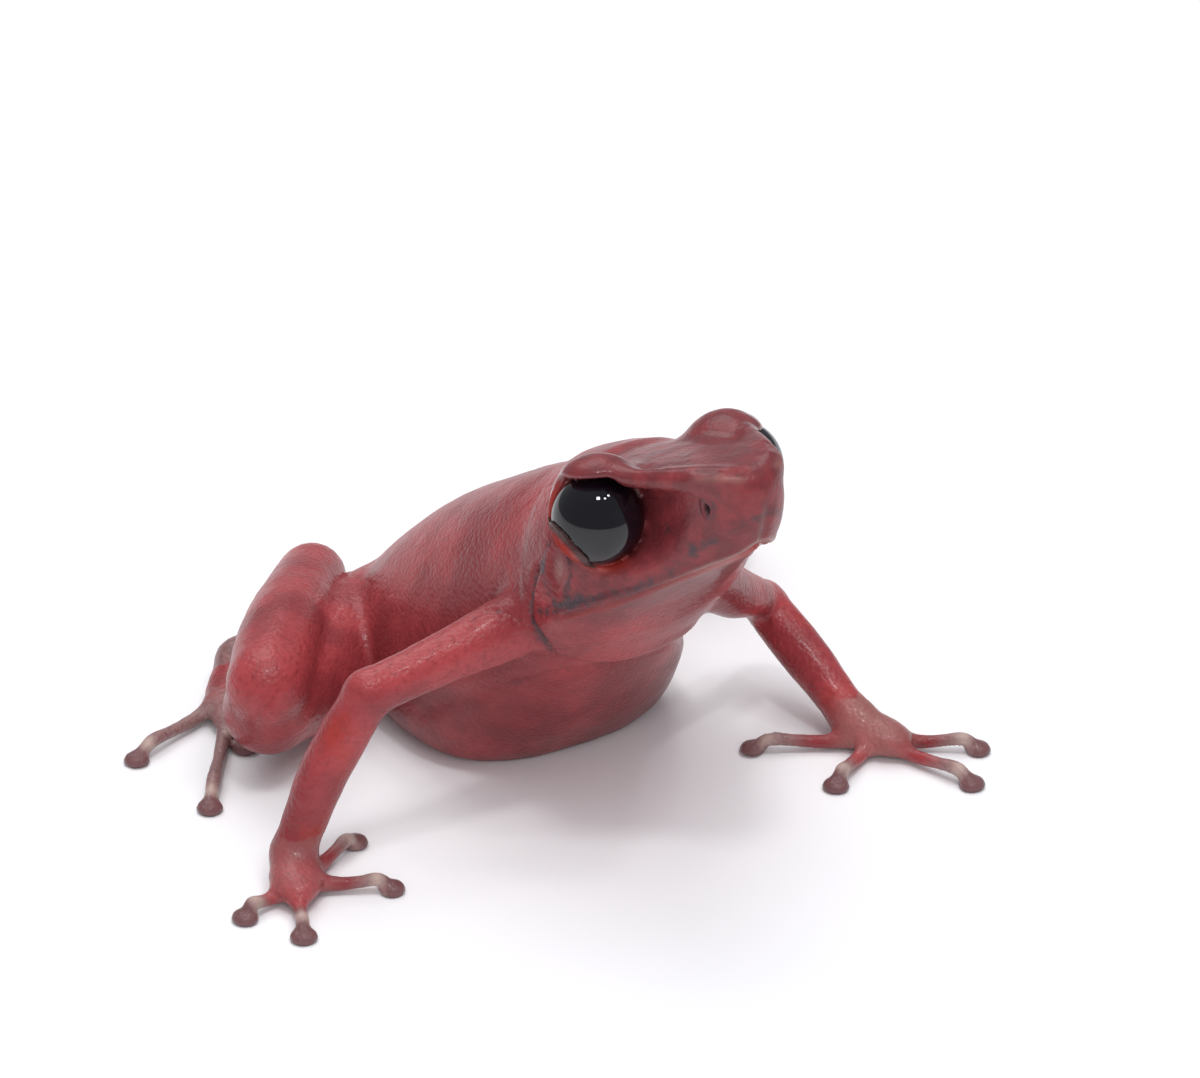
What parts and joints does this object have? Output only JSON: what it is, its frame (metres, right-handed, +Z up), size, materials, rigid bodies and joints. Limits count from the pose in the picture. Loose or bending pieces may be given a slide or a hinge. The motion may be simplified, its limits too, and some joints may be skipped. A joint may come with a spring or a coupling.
{
  "type": "strawberry poison dart frog",
  "caption": "Small red poison dart frog sitting on its belly, head raised, forelegs planted wide and hind legs folded, as a still life-size model.",
  "frame": {"origin": "on the flat under the belly, in the middle plane of the body", "axes": "+Z up, the frog looks along -Y, its left side is at +X"},
  "size_m": [0.0242, 0.0208, 0.0123],
  "materials": {
    "skin": "wet, glossy red skin with fine grains, greyish brown on fingers and toes",
    "eye": "wet, glossy black eyeball"
  },
  "bodies": {
    "root": {"head": "skin", "torso": "skin", "eye_right": "eye", "eye_left": "eye", "upper_arm_right": "skin", "forearm_right": "skin", "hand_right": "skin", "upper_arm_left": "skin", "forearm_left": "skin", "hand_left": "skin", "thigh_right": "skin", "shank_right": "skin", "tarsus_right": "skin", "foot_right": "skin", "thigh_left": "skin", "shank_left": "skin", "tarsus_left": "skin", "foot_left": "skin"}
  },
  "joints": []
}
